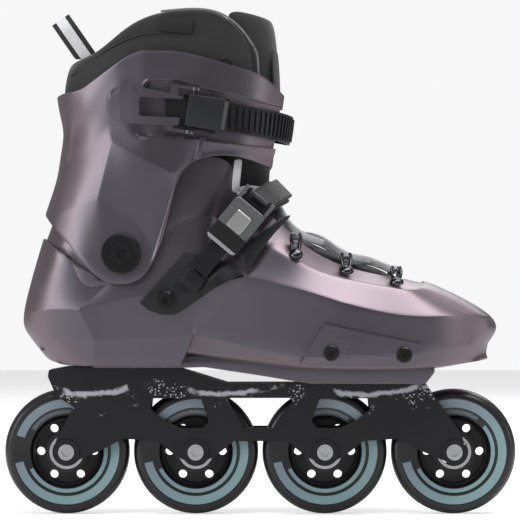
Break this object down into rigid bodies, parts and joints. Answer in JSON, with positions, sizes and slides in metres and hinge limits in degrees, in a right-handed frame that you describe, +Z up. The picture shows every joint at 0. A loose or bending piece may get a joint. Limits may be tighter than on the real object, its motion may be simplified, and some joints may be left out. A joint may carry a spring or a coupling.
{
  "type": "inline skate",
  "caption": "Urban inline skate: hard shell boot with a hinged cuff, laces, two ratchet buckles, a padded liner and a row of wheels in a light frame.",
  "frame": {"origin": "on the ground, midway between the outer axles, in the plane of the wheels", "axes": "+X to the toe, +Y to the inner side of the foot, +Z up"},
  "size_m": [0.3274, 0.1184, 0.324],
  "materials": {
    "shell": "moulded, satin",
    "cuff": "moulded, satin",
    "liner": "padded woven and smooth cloth",
    "footbed": "foam with a cloth top",
    "lace": "flat woven cord",
    "webbing": "woven webbing",
    "steel": "bright",
    "dark_steel": "black oxide",
    "strap": "flexible plastic",
    "buckle": "moulded",
    "button": "satin",
    "lever": "moulded, satin",
    "guard": "moulded, satin",
    "frame": "satin black",
    "tyre": "cast urethane",
    "hub": "moulded core",
    "cage": "pressed",
    "pad": "shock-absorbing"
  },
  "bodies": {
    "boot": {"shell": "shell", "mount_plates": "steel", "mount_bolts": "dark_steel", "mount_washers": "steel", "liner_boot": "liner", "footbed": "footbed", "shock_pad": "pad", "tongue_lower": "liner", "lace": "lace", "lace_hooks": "dark_steel", "lace_eyelets": "dark_steel", "side_guards": "guard", "guard_screws": "dark_steel", "instep_base": "strap", "instep_ladder": "strap", "instep_housing": "strap", "instep_pin": "steel", "instep_pad": "strap", "instep_cushion": "liner", "inner_strap": "webbing", "strap_screws": "dark_steel", "pivot_bolts": "dark_steel", "pivot_caps": "strap", "frame": "frame", "axles": "steel", "axle_screws": "steel", "inner_races": "steel", "spacers": "steel"},
    "cuff": {"cuff": "cuff", "collar": "liner", "tongue_upper": "liner", "pull_loop": "webbing", "cuff_base": "strap", "cuff_pins": "steel", "cuff_ladder": "strap", "cuff_screws": "dark_steel"},
    "cuff_lever": {"cuff_lever": "lever"},
    "cuff_pawl": {"cuff_pawl": "strap"},
    "instep_lever": {"instep_lever": "buckle"},
    "instep_button": {"instep_button": "button"},
    "wheel_1": {"tyre_1": "tyre", "hub_1": "hub", "outer_races_1": "steel"},
    "ball_set_1": {"balls_1": "steel", "cages_1": "cage"},
    "wheel_2": {"tyre_2": "tyre", "hub_2": "hub", "outer_races_2": "steel"},
    "ball_set_2": {"balls_2": "steel", "cages_2": "cage"},
    "wheel_3": {"tyre_3": "tyre", "hub_3": "hub", "outer_races_3": "steel"},
    "ball_set_3": {"balls_3": "steel", "cages_3": "cage"},
    "wheel_4": {"tyre_4": "tyre", "hub_4": "hub", "outer_races_4": "steel"},
    "ball_set_4": {"balls_4": "steel", "cages_4": "cage"}
  },
  "joints": [
    {"name": "cuff_flex", "type": "hinge", "parent": "boot", "child": "cuff", "pos_m": [-0.0877, 0, 0.1665], "axis": [0, 1, 0], "range_deg": [-2, 4], "stiffness_Nm_per_rad": 15},
    {"name": "cuff_buckle_lever", "type": "hinge", "parent": "cuff", "child": "cuff_lever", "pos_m": [-0.0427, -0.05312, 0.2563], "axis": [0.155, 0, 0.9879], "range_deg": [0, 95]},
    {"name": "cuff_buckle_pawl", "type": "hinge", "parent": "cuff", "child": "cuff_pawl", "pos_m": [-0.02936, -0.05312, 0.25421], "axis": [0.155, 0, 0.9879], "range_deg": [0, 9], "stiffness_Nm_per_rad": 0.05},
    {"name": "instep_buckle_lever", "type": "hinge", "parent": "boot", "child": "instep_lever", "pos_m": [-0.00098, -0.0506, 0.2013], "axis": [-0.7682, 0, 0.6402], "range_deg": [0, 70]},
    {"name": "instep_release_button", "type": "slide", "parent": "instep_lever", "child": "instep_button", "axis": [0, 1, 0], "range_m": [0, 0.0016], "stiffness_N_per_m": 800},
    {"name": "wheel_1_spin", "type": "hinge", "parent": "boot", "child": "wheel_1", "pos_m": [-0.12375, 0, 0.04], "axis": [0, 1, 0], "continuous": true},
    {"name": "ball_set_1_spin", "type": "hinge", "parent": "boot", "child": "ball_set_1", "pos_m": [-0.12375, 0, 0.04], "axis": [0, 1, 0], "continuous": true},
    {"name": "wheel_2_spin", "type": "hinge", "parent": "boot", "child": "wheel_2", "pos_m": [-0.04125, 0, 0.04], "axis": [0, 1, 0], "continuous": true},
    {"name": "ball_set_2_spin", "type": "hinge", "parent": "boot", "child": "ball_set_2", "pos_m": [-0.04125, 0, 0.04], "axis": [0, 1, 0], "continuous": true},
    {"name": "wheel_3_spin", "type": "hinge", "parent": "boot", "child": "wheel_3", "pos_m": [0.04125, 0, 0.04], "axis": [0, 1, 0], "continuous": true},
    {"name": "ball_set_3_spin", "type": "hinge", "parent": "boot", "child": "ball_set_3", "pos_m": [0.04125, 0, 0.04], "axis": [0, 1, 0], "continuous": true},
    {"name": "wheel_4_spin", "type": "hinge", "parent": "boot", "child": "wheel_4", "pos_m": [0.12375, 0, 0.04], "axis": [0, 1, 0], "continuous": true},
    {"name": "ball_set_4_spin", "type": "hinge", "parent": "boot", "child": "ball_set_4", "pos_m": [0.12375, 0, 0.04], "axis": [0, 1, 0], "continuous": true}
  ],
  "couplings": [
    {"joint": "ball_set_1_spin", "follows": "wheel_1_spin", "ratio": 0.6323},
    {"joint": "ball_set_2_spin", "follows": "wheel_2_spin", "ratio": 0.6323},
    {"joint": "ball_set_3_spin", "follows": "wheel_3_spin", "ratio": 0.6323},
    {"joint": "ball_set_4_spin", "follows": "wheel_4_spin", "ratio": 0.6323}
  ]
}
